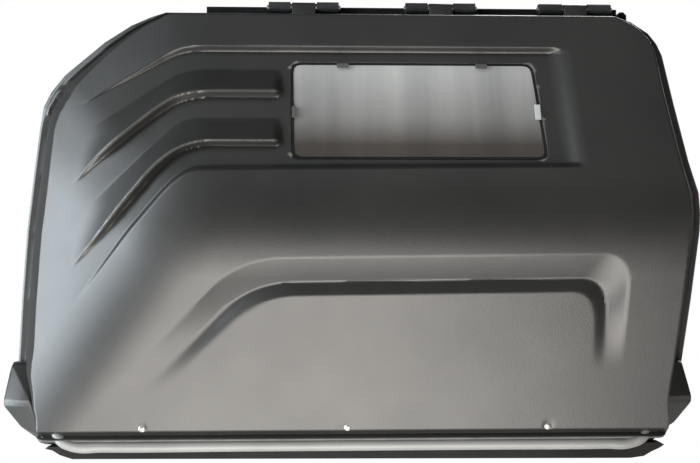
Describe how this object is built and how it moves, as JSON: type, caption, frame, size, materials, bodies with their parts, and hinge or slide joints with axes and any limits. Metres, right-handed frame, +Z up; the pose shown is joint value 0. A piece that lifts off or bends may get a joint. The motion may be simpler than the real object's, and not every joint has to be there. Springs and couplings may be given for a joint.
{
  "type": "air filter housing",
  "caption": "Moulded air filter housing: hinged sloping cover with an inspection window on a rear tray that holds a pleated panel filter.",
  "frame": {"origin": "point on the flat back of the rear base, on the machine panel's face, 181 mm above the bottom lip", "axes": "+X to the right seen from the cover side, +Y out of the back into the machine, +Z up"},
  "size_m": [0.5538, 0.203, 0.3646],
  "materials": {
    "cover_plastic": "fine texture",
    "base_plastic": "matt",
    "black_steel": "satin black",
    "steel": "zinc plated",
    "rubber": "matt",
    "trim_plastic": "satin",
    "clear_plastic": "clear, lightly smoked",
    "filter_paper": "pleated paper",
    "filter_frame": "matt"
  },
  "bodies": {
    "base": {"base_gasket": "rubber", "button_screw_1": "steel", "button_screw_2": "steel", "button_screw_3": "steel", "button_screw_4": "steel", "catch_magnet_left": "steel", "catch_magnet_right": "steel", "corner_hook": "base_plastic", "dust_valve": "rubber", "filter_frame": "filter_frame", "filter_media": "filter_paper", "filter_seal": "rubber", "hinge_bracket_1": "black_steel", "hinge_bracket_2": "black_steel", "hinge_bracket_3": "black_steel", "hinge_pin_1": "steel", "hinge_pin_2": "steel", "hinge_pin_3": "steel", "hinge_rail": "base_plastic", "inlet_collar": "base_plastic", "mount_grommet_1": "rubber", "mount_grommet_2": "rubber", "mount_grommet_3": "rubber", "mount_grommet_4": "rubber", "mount_sleeve_1": "steel", "mount_sleeve_2": "steel", "mount_sleeve_3": "steel", "mount_sleeve_4": "steel", "outlet_spigot": "base_plastic", "rear_base": "base_plastic"},
    "cover": {"bottom_trim_bead": "trim_plastic", "drip_lip": "rubber", "front_cover": "cover_plastic", "strike_plate_left": "steel", "strike_plate_right": "steel", "trim_rivet_1": "black_steel", "trim_rivet_2": "black_steel", "trim_rivet_3": "black_steel", "window_clip_left": "base_plastic", "window_clip_right": "clear_plastic", "window_clip_top_left": "base_plastic", "window_clip_top_right": "base_plastic", "window_gasket": "rubber", "window_pane": "clear_plastic"},
    "turn_1": {"filter_button_1": "base_plastic"},
    "turn_2": {"filter_button_2": "base_plastic"},
    "turn_3": {"filter_button_3": "base_plastic"},
    "turn_4": {"filter_button_4": "base_plastic"}
  },
  "joints": [
    {"name": "cover_hinge", "type": "hinge", "parent": "base", "child": "cover", "pos_m": [0, -0.072, 0.1795], "axis": [-1, 0, 0], "range_deg": [0, 95]},
    {"name": "turn_button_1", "type": "hinge", "parent": "base", "child": "turn_1", "pos_m": [-0.161, -0.082, -0.072], "axis": [0, -1, 0], "range_deg": [0, 90]},
    {"name": "turn_button_2", "type": "hinge", "parent": "base", "child": "turn_2", "pos_m": [-0.161, -0.082, 0.062], "axis": [0, -1, 0], "range_deg": [0, 90]},
    {"name": "turn_button_3", "type": "hinge", "parent": "base", "child": "turn_3", "pos_m": [0.216, -0.082, -0.072], "axis": [0, -1, 0], "range_deg": [0, 90]},
    {"name": "turn_button_4", "type": "hinge", "parent": "base", "child": "turn_4", "pos_m": [0.216, -0.082, 0.062], "axis": [0, -1, 0], "range_deg": [0, 90]}
  ]
}
